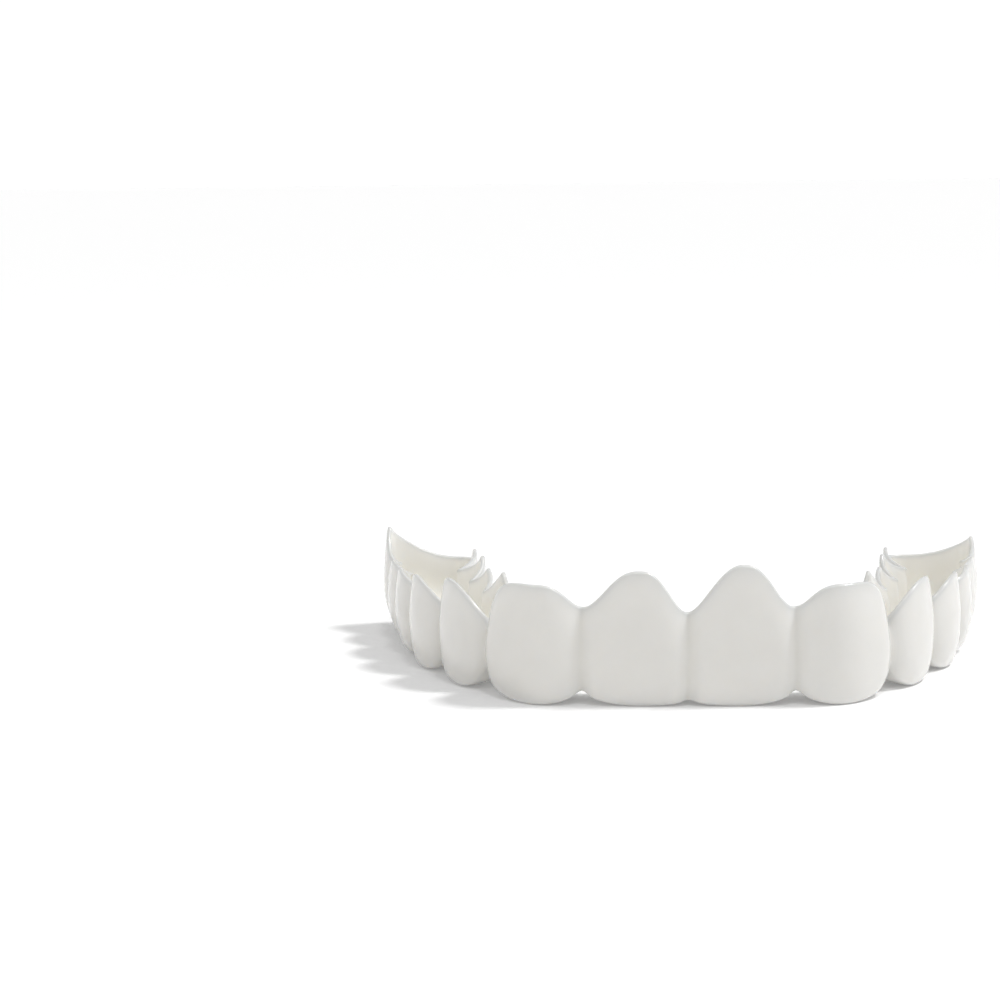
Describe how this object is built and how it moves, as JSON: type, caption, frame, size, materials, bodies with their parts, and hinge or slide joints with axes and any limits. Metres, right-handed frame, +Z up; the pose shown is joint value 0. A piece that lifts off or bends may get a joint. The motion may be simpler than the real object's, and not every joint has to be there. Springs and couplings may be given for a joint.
{
  "type": "clip-on dental veneer",
  "caption": "Clip-on cover for the upper teeth: one thin moulded shell with tooth-shaped fronts, pointed scallops inside and an open trough where the wearer's teeth go in.",
  "frame": {"origin": "centre of the bounding box at its bottom, on the plane of the biting edges", "axes": "+X across the row of teeth, the longest extent; +Y from the front teeth to the back ends; +Z up from the biting edges to the gum rim, the shortest extent"},
  "size_m": [0.0574, 0.037, 0.0119],
  "materials": {
    "resin": "glossy, slightly translucent cream-white dental resin"
  },
  "bodies": {
    "root": {"veneer_shell": "resin"}
  },
  "joints": []
}
